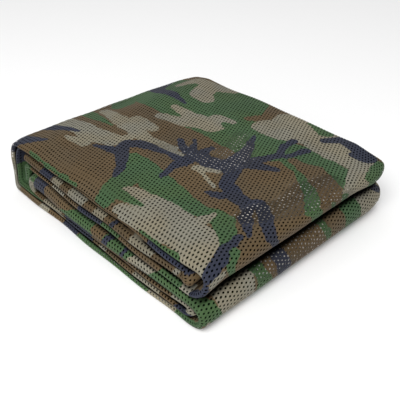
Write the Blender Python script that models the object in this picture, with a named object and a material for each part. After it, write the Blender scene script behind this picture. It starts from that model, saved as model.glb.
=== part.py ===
"""Camouflage net: a perforated cloth, rolled into a soft strip and folded into a flat pack.

The strip runs back and forth in the XZ plane and is as deep as the pack along Y. Its face is the side
that ends up on the outside of the pack; its back lies one strip thickness behind the face. Metres, +Z up,
origin at the middle of the flat underside.
"""

import math

import bmesh
import bpy

# ---------------------------------------------------------------- driving dimensions, metres
PACK_LENGTH = 0.300        # along X, between the outermost folds
PACK_DEPTH = 0.259         # along Y, between the rolled edges
PACK_HEIGHT = 0.0585       # top of the uppermost layer

RUN_STEPS = 9              # stations along each straight run
END_ROUND = 0.003          # how far the strip's inner end is drawn out to a rounded lip
END_HEIGHT = 0.45          # height of that lip as a share of the strip's thickness
FRONT_SAG = 0.13           # share of the height that the front lip sinks
FRONT_REACH = 0.034        # how far back from the front edge that sag begins
REAR_SAG = 0.015           # share of the height that the rear lip sinks
REAR_REACH = 0.022         # how far in from the rear edge that sag begins
SIDE_SAG = 0.09            # share of the height lost over the left fold
SIDE_REACH = 0.045         # how far in from the left fold that sag begins
CORNER_SAG = 0.10          # share of the height lost at the back right corner
CORNER_SAG_X = (0.095, 0.140)  # x where that begins and where it is full
CORNER_SAG_Y = (0.060, 0.120)  # y where that begins and where it is full
SAG_POWER = 3.0            # how firmly the larger of two sags that meet at a corner prevails
CORNER_START = 0.098       # |x| beyond which the plan corners are drawn in
CORNER_REACH = 0.040       # length along Y over which a corner rounds
CORNER_POWER = 2.0         # how late along that length a corner turns in
BACK_RIGHT_LOW = 0.10      # share drawn in at the back right corner, lower fold
BACK_RIGHT_HIGH = 0.24     # the same for the upper fold
BACK_LEFT_ROUND = 0.18     # share drawn in at the back left corner
FRONT_LEFT_ROUND = 0.10    # share drawn in at the front left corner
REAR_SKEW = -0.020         # slope of the rear edge along X
FRONT_SKEW = 0.008         # slope of the front edge along X
UPPER_TWIST = 0.022        # how far the top of the right folds turns, metres per metre of depth
LEFT_LEAN = 0.0045         # how far the foot of the left fold lies in from its top
RIGHT_LIFT = 0.005         # how far the middle of the pack's height is raised at its right rear
LIFT_X = (0.060, 0.125)    # x where that begins and where it is full
LIFT_Y = (-0.110, 0.090)   # y where that begins and where it is full
LIFT_POWER = 3.0           # how late a fold's tip lift comes on the upper half of the fold
EDGE_SQUARE = 0.72         # depth of a rolled edge along Y as a share of half the strip's thickness

# The loose inner end of the strip hangs down inside the left fold before the first run begins: where its
# outer side is along X at the top and at the foot, how high the foot is, its thickness, the height of the
# bend into the run on the outside and on the inside, in millimetres, and the stations up it and round the
# bend.
TAIL = {
    "top_x": -125.0,
    "foot_x": -128.0,
    "foot": 20.0,
    "thickness": 11.0,
    "outer_bend": 8.0,
    "inner_bend": 2.8,
    "steps": 5,
    "bend_steps": 5,
}

# The layers of the pack from the bottom up, and how thick each lies at five places along X, in millimetres.
# They are scaled together so that the pack has its stated height. The hollow is empty.
LAYER_PLACES = (-126.0, -86.0, 0.0, 80.0, 126.0)
LAYER_COLUMNS = ("name", "left_end", "left", "middle", "right", "right_end")
LAYERS = (
    ("bottom cover", 8.6, 7.4, 5.4, 4.6, 8.6),
    ("lower lining", 3.4, 3.6, 4.7, 6.8, 3.2),
    ("lower inner", 3.2, 4.2, 6.3, 4.4, 5.4),
    ("lower roll", 10.0, 17.2, 13.1, 11.8, 10.7),
    ("hollow", 9.6, 0.0, 0.0, 0.0, 0.0),
    ("upper inner", 3.0, 3.0, 7.6, 7.0, 3.6),
    ("upper middle", 6.6, 8.0, 9.4, 6.5, 10.4),
    ("upper lining", 2.6, 2.6, 2.8, 8.0, 3.0),
    ("top cover", 2.8, 2.8, 3.0, 3.0, 6.0),
)
LAYER_GAP = 0.9            # space between two layers, millimetres

# One row per run of the strip, in the order in which the cloth goes: which side of the layer is the face,
# where the run starts and stops along X, its rolled front edge along Y at the left, in the middle and at
# the right, and its rolled rear edge, in millimetres.
FRONT_PLACES = (-110.0, 20.0, 120.0)
RUN_COLUMNS = ("name", "face", "start", "stop", "front_left", "front_middle", "front_right", "rear")
RUNS = (
    ("upper inner", "low", -108.0, 132.0, -122.0, -123.3, -124.1, 127.0),
    ("top cover", "high", 132.0, -134.0, -119.2, -119.6, -118.0, 129.5),
    ("bottom cover", "low", -134.0, 128.0, -127.5, -127.1, -127.8, 128.0),
    ("lower roll", "high", 128.0, -99.0, -126.5, -128.4, -124.8, 127.0),
    ("lower inner", "low", -99.0, 126.0, -126.0, -124.8, -124.5, 126.0),
    ("lower lining", "high", 126.0, -130.0, -125.0, -124.7, -127.4, 124.0),
    ("upper lining", "low", -130.0, 121.0, -117.2, -118.1, -119.9, 125.0),
    ("upper middle", "high", 121.0, -124.0, -121.0, -124.0, -121.0, 126.0),
)

# One row per fold between two runs: where the face and the back reach along X, how far the tip lies above
# the middle of the fold, how far the front edge bulges, all in millimetres, how square the bend is (2 is
# round), and how many stations it takes.
FOLD_COLUMNS = ("face_tip", "back_tip", "lift", "bulge", "square", "steps")
FOLDS = (
    (149.8, 143.5, 4.5, 0.0, 2.3, 10),
    (-150.0, -143.0, 0.0, 0.0, 4.0, 12),
    (150.0, 143.0, 0.0, 0.0, 2.4, 12),
    (-114.0, -99.8, 0.0, 0.0, 2.0, 10),
    (126.8, 138.0, 0.0, 0.0, 2.0, 8),
    (-137.8, -142.2, 0.0, 0.0, 3.6, 12),
    (121.8, 134.5, 1.5, 4.5, 2.0, 8),
)

# Where the strip's cross-section has its stations between the rolled edges, as shares of its depth.
DEPTH_SHARES = (0.0, 0.05, 0.13, 0.27, 0.5, 0.73, 0.87, 0.95, 1.0)
EDGE_STEPS = 4             # stations round each rolled edge

# Slow waviness of the rolled front and rear edges, one row per wave: size and length along X in metres, and
# shift of phase from layer to layer in radians.
WAVE_COLUMNS = ("size", "length", "shift")
WAVES = (
    (0.0006, 0.151, 1.9),
    (0.0005, 0.083, 2.7),
)

NET_GREEN = (0.085, 0.150, 0.075, 1.0)
NET_ROUGHNESS = 0.85


def millimetres(value):
    """A length in metres from one in millimetres."""
    return value / 1000.0


def table(columns, rows):
    """The rows of a short table as dictionaries keyed by column."""
    return [dict(zip(columns, row)) for row in rows]


def edge_wave(x, layer):
    """How far a rolled edge wanders at x, for the layer with this number."""
    return sum(
        wave["size"] * math.sin(2.0 * math.pi * x / wave["length"] + wave["shift"] * layer)
        for wave in table(WAVE_COLUMNS, WAVES)
    )


def blend(low, high, share):
    """The value that lies the given share of the way from low to high."""
    return low + (high - low) * share


def ease(share):
    """A smooth rise from 0 to 1 as share goes from 0 to 1."""
    share = min(1.0, max(0.0, share))
    return share * share * (3.0 - 2.0 * share)


def between(place, ends):
    """A smooth rise from 0 to 1 as place goes from the first end to the second."""
    return ease((place - ends[0]) / (ends[1] - ends[0]))


def half_bend(start, tip, stop, lift, square, share):
    """A point (x, z) on a bend that leaves start along X, reaches x = tip and comes back to stop.

    Lift is how far the tip lies above the middle of start and stop. It comes late on the upper half of the
    bend, so that the bend never rises above where it leaves.
    """
    angle = math.pi * share
    reach = math.sin(angle) ** (2.0 / square)
    drop = math.copysign(abs(math.cos(angle)) ** (2.0 / square), math.cos(angle))
    middle = (start[1] + stop[1]) / 2.0
    half = (start[1] - stop[1]) / 2.0
    base = blend(start[0], stop[0], share)
    raised = lift * reach ** (LIFT_POWER if half * drop > 0.0 else 1.0)
    return (base + (tip - base) * reach, middle + half * drop + raised)


def eased(x, places, values):
    """The value at x, in metres, that runs smoothly through values at places, all in millimetres."""
    value = values[0]
    for index in range(len(places) - 1):
        share = ease((1000.0 * x - places[index]) / (places[index + 1] - places[index]))
        value += (values[index + 1] - values[index]) * share
    return millimetres(value)


def stack_heights(x):
    """The low and the high side of every layer at x, by name, in metres."""
    layers = table(LAYER_COLUMNS, LAYERS)
    thicknesses = [eased(x, LAYER_PLACES, [layer[column] for column in LAYER_COLUMNS[1:]]) for layer in layers]
    gaps = millimetres(LAYER_GAP) * (len(layers) - 1)
    scale = (PACK_HEIGHT - gaps) / sum(thicknesses)
    heights = {}
    low = 0.0
    for layer, thickness in zip(layers, thicknesses):
        high = low + thickness * scale
        heights[layer["name"]] = {"low": low, "high": high}
        low = high + millimetres(LAYER_GAP)
    return heights


def layer_height(run, side, x):
    """Height of a run's face or back at x, in metres."""
    other = {"low": "high", "high": "low"}
    end = run["face"] if side == "face" else other[run["face"]]
    return stack_heights(x)[run["name"]][end]


def run_edges(run, x, layer):
    """The rolled front and rear edges of a run at x."""
    fronts = [run[column] for column in ("front_left", "front_middle", "front_right")]
    wander = edge_wave(x, layer)
    return {"front": eased(x, FRONT_PLACES, fronts) + wander, "rear": millimetres(run["rear"]) + wander}


def run_stations(run, layer, with_end):
    """Stations along one straight run: face point, back point and the two edges along Y."""
    stations = []
    count = RUN_STEPS + (1 if with_end else 0)
    for step in range(count):
        x = millimetres(blend(run["start"], run["stop"], step / RUN_STEPS))
        stations.append({
            "face": (x, layer_height(run, "face", x)),
            "back": (x, layer_height(run, "back", x)),
            **run_edges(run, x, layer),
        })
    return stations


def fold_stations(fold, run, following, layer):
    """Stations round one fold, from the stop of a run to the start of the following run."""
    stations = []
    leaves, returns = millimetres(run["stop"]), millimetres(following["start"])
    for step in range(fold["steps"]):
        share = step / fold["steps"]
        bends = {}
        for side in ("face", "back"):
            start = (leaves, layer_height(run, side, leaves))
            stop = (returns, layer_height(following, side, returns))
            tip, lift = millimetres(fold[side + "_tip"]), millimetres(fold["lift"])
            bends[side] = half_bend(start, tip, stop, lift, fold["square"], share)
        before, after = run_edges(run, leaves, layer), run_edges(following, returns, layer + 1)
        edges = {edge: blend(before[edge], after[edge], ease(share)) for edge in before}
        edges["front"] -= millimetres(fold["bulge"]) * math.sin(math.pi * share)
        stations.append({**bends, **edges})
    return stations


def tail_stations(run):
    """Stations of the loose inner end: up from its foot and round a quarter bend into the first run."""
    x_start = millimetres(run["start"])
    face_z = layer_height(run, "face", x_start)
    back_z = layer_height(run, "back", x_start)
    outer_x = millimetres(TAIL["top_x"])
    inner_x = outer_x + millimetres(TAIL["thickness"])
    slant = millimetres(TAIL["foot_x"] - TAIL["top_x"])
    foot = millimetres(TAIL["foot"])
    face_top = face_z - millimetres(TAIL["inner_bend"])
    back_top = back_z - millimetres(TAIL["outer_bend"])
    edges = run_edges(run, x_start, 0)
    stations = []
    for step in range(TAIL["steps"]):
        share = step / TAIL["steps"]
        lean = slant * (1.0 - share) ** 2
        stations.append({
            "face": (inner_x + lean, blend(foot, face_top, share)),
            "back": (outer_x + lean, blend(foot, back_top, share)),
            **edges,
        })
    for step in range(TAIL["bend_steps"]):
        angle = 0.5 * math.pi * step / TAIL["bend_steps"]
        along, rise = 1.0 - math.cos(angle), math.sin(angle)
        stations.append({
            "face": (blend(inner_x, x_start, along), blend(face_top, face_z, rise)),
            "back": (blend(outer_x, x_start, along), blend(back_top, back_z, rise)),
            **edges,
        })
    return stations


def strip_stations():
    """All stations of the folded strip, from one end of the cloth to the other."""
    runs = table(RUN_COLUMNS, RUNS)
    folds = table(FOLD_COLUMNS, FOLDS)
    stations = tail_stations(runs[0])
    for layer, run in enumerate(runs):
        last = layer == len(runs) - 1
        stations += run_stations(run, layer, with_end=last)
        if not last:
            stations += fold_stations(folds[layer], run, runs[layer + 1], layer)
    return stations


def draw_in_corner(x, y, z):
    """Draw a point in along X where the plan of the pack has a rounded corner."""
    beyond = abs(x) - CORNER_START
    if beyond <= 0.0:
        return x
    toward_rear = max(0.0, (y - (PACK_DEPTH / 2.0 - CORNER_REACH)) / CORNER_REACH)
    toward_front = max(0.0, (-y - (PACK_DEPTH / 2.0 - CORNER_REACH)) / CORNER_REACH)
    if x > 0.0:
        drawn = blend(BACK_RIGHT_LOW, BACK_RIGHT_HIGH, z / PACK_HEIGHT) * toward_rear ** CORNER_POWER
    else:
        drawn = BACK_LEFT_ROUND * toward_rear ** CORNER_POWER
        drawn += FRONT_LEFT_ROUND * toward_front ** CORNER_POWER
    return math.copysign(CORNER_START + beyond * (1.0 - drawn), x)


def settle(x, y, z):
    """Let the squared-up pack settle: it sags at its lips and over the left fold, and lies skewed."""
    half_depth = PACK_DEPTH / 2.0
    front = FRONT_SAG * ease((-y - (half_depth - FRONT_REACH)) / FRONT_REACH)
    rear = REAR_SAG * ease((y - (half_depth - REAR_REACH)) / REAR_REACH)
    side = SIDE_SAG * ease((-x - (PACK_LENGTH / 2.0 - SIDE_REACH)) / SIDE_REACH)
    corner = CORNER_SAG * between(x, CORNER_SAG_X) * between(y, CORNER_SAG_Y)
    sag = sum(share ** SAG_POWER for share in (front, rear, side, corner)) ** (1.0 / SAG_POWER)
    skew = blend(FRONT_SKEW, REAR_SKEW, 0.5 + y / PACK_DEPTH)
    rise = z / PACK_HEIGHT
    toward_right = 2.0 * x / PACK_LENGTH
    twist = UPPER_TWIST * y * rise * max(0.0, toward_right)
    lean = LEFT_LEAN * (1.0 - rise) * max(0.0, -toward_right)
    lift = RIGHT_LIFT * between(x, LIFT_X) * between(y, LIFT_Y)
    raised = z + lift * 4.0 * rise * (1.0 - rise)
    return (draw_in_corner(x, y, z) + twist + lean, y + skew * x, raised * (1.0 - sag))


def cross_section(station):
    """The closed ring of points round the strip at one station, with rolled edges front and rear."""
    (face_x, face_z), (back_x, back_z) = station["face"], station["back"]
    radius = 0.5 * EDGE_SQUARE * math.hypot(face_x - back_x, face_z - back_z)
    front, rear = station["front"], station["rear"]

    def point(y, share):
        return settle(blend(face_x, back_x, share), y, blend(face_z, back_z, share))

    inner_front, inner_rear = front + radius, rear - radius
    ring = [point(blend(inner_rear, inner_front, share), 0.0) for share in DEPTH_SHARES]
    for step in range(1, EDGE_STEPS):
        angle = math.pi * step / EDGE_STEPS
        ring.append(point(inner_front - radius * math.sin(angle), 0.5 - 0.5 * math.cos(angle)))
    ring += [point(blend(inner_front, inner_rear, share), 1.0) for share in DEPTH_SHARES]
    for step in range(1, EDGE_STEPS):
        angle = math.pi * step / EDGE_STEPS
        ring.append(point(inner_rear + radius * math.sin(angle), 0.5 + 0.5 * math.cos(angle)))
    return ring


def end_lip(ring):
    """The ring past the end of the last run, drawn together and pushed out to round the end off."""
    middle_z = sum(point[2] for point in ring) / len(ring)
    return [(x - END_ROUND, y, blend(middle_z, z, END_HEIGHT)) for x, y, z in ring]


def centred(rings):
    """The rings moved so that the middle of their footprint is the origin."""
    middle = []
    for axis in (0, 1):
        places = [point[axis] for ring in rings for point in ring]
        middle.append((min(places) + max(places)) / 2.0)
    return [[(x - middle[0], y - middle[1], z) for x, y, z in ring] for ring in rings]


def build_net():
    """The folded net as one closed solid, lofted ring by ring along the strip."""
    rings = [cross_section(station) for station in strip_stations()]
    rings.append(end_lip(rings[-1]))
    rings = centred(rings)

    shape = bmesh.new()
    loops = [[shape.verts.new(point) for point in ring] for ring in rings]
    for before, after in zip(loops, loops[1:]):
        for corner, start in enumerate(before):
            following = (corner + 1) % len(before)
            shape.faces.new((start, before[following], after[following], after[corner]))
    count = len(DEPTH_SHARES)
    for loop in (loops[0], loops[-1]):
        cap_end(shape, loop, count)
    bmesh.ops.recalc_face_normals(shape, faces=shape.faces)

    mesh = bpy.data.meshes.new("net")
    shape.to_mesh(mesh)
    shape.free()
    mesh.shade_smooth()
    return bpy.data.objects.new("net", mesh)


def cap_end(shape, loop, count):
    """Close one end of the strip with a ladder of faces between its face side and its back side."""
    face_side = loop[:count]
    front_edge = loop[count:count + EDGE_STEPS - 1]
    back_side = loop[count + EDGE_STEPS - 1:2 * count + EDGE_STEPS - 1]
    rear_edge = loop[2 * count + EDGE_STEPS - 1:]
    back_side = list(reversed(back_side))
    for corner in range(count - 1):
        shape.faces.new((face_side[corner], face_side[corner + 1], back_side[corner + 1], back_side[corner]))
    shape.faces.new((face_side[-1], *front_edge, back_side[-1]))
    shape.faces.new((back_side[0], *rear_edge, face_side[0]))


def net_material():
    """Plain matt green cloth."""
    material = bpy.data.materials.new("net_cloth")
    material.use_nodes = True
    shader = material.node_tree.nodes["Principled BSDF"]
    shader.inputs["Base Color"].default_value = NET_GREEN
    shader.inputs["Roughness"].default_value = NET_ROUGHNESS
    shader.inputs["Metallic"].default_value = 0.0
    return material


def main():
    for old in list(bpy.data.objects):
        bpy.data.objects.remove(old, do_unlink=True)
    collection = bpy.data.collections.new("camouflage_net")
    bpy.context.scene.collection.children.link(collection)
    net = build_net()
    net.data.materials.append(net_material())
    collection.objects.link(net)


main()
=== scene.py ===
"""Looks of the folded camouflage net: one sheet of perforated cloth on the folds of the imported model.

The cloth is rolled into a soft strip four plies deep, and the strip is folded back and forth into a pack.
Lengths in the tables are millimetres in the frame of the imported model, +Z up.
"""

import math

import bpy
import numpy as np
from bpy.props import FloatProperty, FloatVectorProperty, PointerProperty
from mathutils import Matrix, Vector
from mathutils.bvhtree import BVHTree


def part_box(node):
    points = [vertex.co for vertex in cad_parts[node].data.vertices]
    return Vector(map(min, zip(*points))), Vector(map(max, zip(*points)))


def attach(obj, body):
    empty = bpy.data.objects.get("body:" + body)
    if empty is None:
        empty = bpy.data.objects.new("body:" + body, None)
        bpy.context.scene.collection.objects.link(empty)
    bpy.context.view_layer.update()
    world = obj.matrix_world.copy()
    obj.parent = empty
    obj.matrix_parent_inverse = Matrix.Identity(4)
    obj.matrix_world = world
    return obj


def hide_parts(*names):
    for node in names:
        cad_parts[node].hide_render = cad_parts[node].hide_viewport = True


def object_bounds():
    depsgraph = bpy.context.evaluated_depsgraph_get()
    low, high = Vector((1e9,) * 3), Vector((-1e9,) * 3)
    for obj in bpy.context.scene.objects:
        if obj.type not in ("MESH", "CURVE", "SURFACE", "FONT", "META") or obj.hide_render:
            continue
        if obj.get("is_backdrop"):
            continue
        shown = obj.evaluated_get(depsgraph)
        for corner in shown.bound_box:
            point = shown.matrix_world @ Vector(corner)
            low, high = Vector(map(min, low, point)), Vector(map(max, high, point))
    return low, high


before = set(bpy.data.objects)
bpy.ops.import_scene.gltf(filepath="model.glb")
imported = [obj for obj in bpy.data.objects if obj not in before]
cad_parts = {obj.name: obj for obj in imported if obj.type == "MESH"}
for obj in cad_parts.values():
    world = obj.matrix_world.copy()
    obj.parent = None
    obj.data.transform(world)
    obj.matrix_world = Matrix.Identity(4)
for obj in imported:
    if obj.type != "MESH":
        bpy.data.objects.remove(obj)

bl_info = {
    "name": "Folded Camouflage Net",
    "version": (1, 0, 0),
    "blender": (4, 5, 0),
    "location": "View3D > Sidebar > Net",
    "description": "A perforated camouflage net, folded into a flat pack",
    "category": "Add Mesh",
}

MM = 0.001


def table(columns, rows):
    """The rows of a short table as dictionaries keyed by column."""
    return [dict(zip(columns, row)) for row in rows]


def keyed(columns, rows):
    """The rows of a short table by the name in their first column."""
    return {row[0]: dict(zip(columns[1:], row[1:])) for row in rows}


# ---- the folded strip
FRONT_SAG = 0.13           # share of the height that the front lip sinks
FRONT_REACH = 34.0         # how far back from the front edge that sag begins
REAR_SAG = 0.015           # the same at the rear
REAR_REACH = 22.0          # how far in from the rear edge
SIDE_SAG = 0.09            # the same over the left fold
SIDE_REACH = 45.0          # how far in from its tip
CORNER_SAG = 0.10          # the same at the back right corner
CORNER_SAG_X = (95.0, 140.0)   # x where that begins and where it is full
CORNER_SAG_Y = (60.0, 120.0)   # y where that begins and where it is full
SAG_POWER = 3.0            # how firmly the larger of two sags that meet prevails
CORNER_START = 98.0        # |x| beyond which the plan corners are drawn in
CORNER_REACH = 40.0        # length along Y over which a corner rounds
CORNER_POWER = 2.0         # how late the rounding comes
BACK_RIGHT_LOW = 0.10      # share drawn in at the back right corner, lower fold
BACK_RIGHT_HIGH = 0.24     # the same for the upper fold
BACK_LEFT_ROUND = 0.18     # the same at the back left corner
FRONT_LEFT_ROUND = 0.10    # and at the front left corner
REAR_SKEW = -0.020         # slope of the rear edge along X
FRONT_SKEW = 0.008         # slope of the front edge along X
UPPER_TWIST = 0.022        # turn of the top of the right folds
LEFT_LEAN = 4.5            # how far the foot of the left fold lies in from its top
RIGHT_LIFT = 5.0           # how far the middle of the pack is raised at its right rear
LIFT_X = (60.0, 125.0)     # x where that begins and where it is full
LIFT_Y = (-110.0, 90.0)    # y where that begins and where it is full
LIFT_POWER = 3.0           # how late the lift of a fold's tip comes on the upper half of the fold
EDGE_SQUARE = 0.72         # depth of a rolled edge as a share of half the strip's thickness
STRIP_DEPTH = 259.0        # depth of the squared-up pack along Y
STRIP_LENGTH = 300.0       # length of the squared-up pack along X
LAYER_GAP = 0.9            # space between two layers

# The loose inner end, which hangs inside the left fold.
TAIL = {
    "top_x": -125.0,
    "foot_x": -128.0,
    "foot": 20.0,
    "thickness": 11.0,
    "outer_bend": 8.0,
    "inner_bend": 2.8,
}

# Thickness of the layers from the floor up at five places along X, before they are scaled to the height.
LAYER_PLACES = (-126.0, -86.0, 0.0, 80.0, 126.0)
LAYERS = keyed(("name", "left_end", "left", "middle", "right", "right_end"), (
    ("bottom cover", 8.6, 7.4, 5.4, 4.6, 8.6),
    ("lower lining", 3.4, 3.6, 4.7, 6.8, 3.2),
    ("lower inner", 3.2, 4.2, 6.3, 4.4, 5.4),
    ("lower roll", 10.0, 17.2, 13.1, 11.8, 10.7),
    ("hollow", 9.6, 0.0, 0.0, 0.0, 0.0),
    ("upper inner", 3.0, 3.0, 7.6, 7.0, 3.6),
    ("upper middle", 6.6, 8.0, 9.4, 6.5, 10.4),
    ("upper lining", 2.6, 2.6, 2.8, 8.0, 3.0),
    ("top cover", 2.8, 2.8, 3.0, 3.0, 6.0),
))

# The strip's runs from its inner end outward: the side its face lies on, where it starts and stops along X,
# and where its rolled edges lie along Y.
FRONT_PLACES = (-110.0, 20.0, 120.0)
RUNS = table(("name", "face", "start", "stop", "front_left", "front_middle", "front_right", "rear"), (
    ("upper inner", "low", -108.0, 132.0, -122.0, -123.3, -124.1, 127.0),
    ("top cover", "high", 132.0, -134.0, -119.2, -119.6, -118.0, 129.5),
    ("bottom cover", "low", -134.0, 128.0, -127.5, -127.1, -127.8, 128.0),
    ("lower roll", "high", 128.0, -99.0, -126.5, -128.4, -124.8, 127.0),
    ("lower inner", "low", -99.0, 126.0, -126.0, -124.8, -124.5, 126.0),
    ("lower lining", "high", 126.0, -130.0, -125.0, -124.7, -127.4, 124.0),
    ("upper lining", "low", -130.0, 121.0, -117.2, -118.1, -119.9, 125.0),
    ("upper middle", "high", 121.0, -124.0, -121.0, -124.0, -121.0, 126.0),
))

# The fold after each run: how far the face and the back reach along X, how far the tip is lifted, how far the
# front edge bulges and how square the fold is.
FOLDS = keyed(("after", "face_tip", "back_tip", "lift", "bulge", "square"), (
    ("upper inner", 149.8, 143.5, 4.5, 0.0, 2.3),
    ("top cover", -150.0, -143.0, 0.0, 0.0, 4.0),
    ("bottom cover", 150.0, 143.0, 0.0, 0.0, 2.4),
    ("lower roll", -114.0, -99.8, 0.0, 0.0, 2.0),
    ("lower inner", 126.8, 138.0, 0.0, 0.0, 2.0),
    ("lower lining", -137.8, -142.2, 0.0, 0.0, 3.6),
    ("upper lining", 121.8, 134.5, 1.5, 4.5, 2.0),
))

# Waves of the rolled edges along X; the shift is how far each layer is out of step with the one before it.
WAVES = table(("size", "length", "shift"), (
    (0.6, 151.0, 1.9),
    (0.5, 83.0, 2.7),
))
# How many places are sampled on a run, a fold and each half of the loose end, and what is worked out there.
RUN_SAMPLES, FOLD_SAMPLES, TAIL_SAMPLES = 72, 48, 24
SAMPLED = ("face_x", "face_z", "back_x", "back_z", "front", "rear", "part")

# The part of the strip that a place lies on: its run's number, or a half more on the fold after that run.
RUN_NUMBERS = {run["name"]: number for number, run in enumerate(RUNS)}
UPPER_INNER, UPPER_RIGHT_FOLD, TOP_COVER, LEFT_FOLD = 0.0, 0.5, 1.0, 1.5
BOTTOM_COVER, LOWER_RIGHT_FOLD, LOWER_ROLL, ROLL_FOLD = 2.0, 2.5, 3.0, 3.5
LOOSE_END = -0.5

# ---- the rolled cloth
FACE_ROWS = 64             # rows of holes from the middle of the front edge to the outer edge
LAP = 12.0                 # room for the outer edge to run on past the rear roll
LAP_CLEAR = 0.3            # how far the lap lies below the strip's back
PLY_STEP = 1.3             # depth of the third ply under the face
PLY_CLOSE = 0.35           # the same where it lies against the face
THIRD_PLY = 0.42           # the most that depth may be, as a share of the strip's thickness
FOURTH_PLY = 0.70          # depth of the fourth ply, as the same share
NEST = 0.5                 # how far the rear roll lies inside the lap
NEST_LEAST = 0.3           # the smallest radius of that roll
INNER_ROLL = 0.55          # radius of the third and fourth plies' fold, as a share of the front edge's
THIRD_SHORT = 8.0          # how far in from the middle of the rear roll the third ply reaches its depth
FOURTH_SHORT = 2.0         # how far in from it the fourth ply ends, at the cloth's inner edge
LAP_STEPS, EDGE_STEPS, BACK_STEPS, INNER_STEPS = 13, 25, 17, 9   # points on the four rolled edges
SAMPLES_PER_ROW = 16       # how finely the cloth's section is sampled


def blend(low, high, share):
    """The value that lies the given share of the way from low to high."""
    return low + (high - low) * share


def ease(share):
    """A smooth rise from 0 to 1 as share goes from 0 to 1."""
    share = np.clip(share, 0.0, 1.0)
    return share * share * (3.0 - 2.0 * share)


def between(place, ends):
    """A smooth rise from 0 to 1 as place goes from the first end to the second."""
    return ease((place - ends[0]) / (ends[1] - ends[0]))


def eased(x, places, values):
    """The value at x that runs smoothly through values at places."""
    value = np.full(np.shape(x), float(values[0]))
    for index in range(len(places) - 1):
        share = ease((x - places[index]) / (places[index + 1] - places[index]))
        value = value + (values[index + 1] - values[index]) * share
    return value


def edge_wave(x, layer):
    """How far a rolled edge wanders at x, for the layer with this number."""
    return sum(w["size"] * np.sin(2.0 * math.pi * x / w["length"] + w["shift"] * layer) for w in WAVES)


def stack_heights(x, pack_height):
    """The low and the high side of every layer at x, by name."""
    thicknesses = [eased(x, LAYER_PLACES, list(layer.values())) for layer in LAYERS.values()]
    scale = (pack_height - LAYER_GAP * (len(LAYERS) - 1)) / sum(thicknesses)
    heights = {}
    low = np.zeros(np.shape(x))
    for name, thickness in zip(LAYERS, thicknesses):
        high = low + thickness * scale
        heights[name] = {"low": low, "high": high}
        low = high + LAYER_GAP
    return heights


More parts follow.
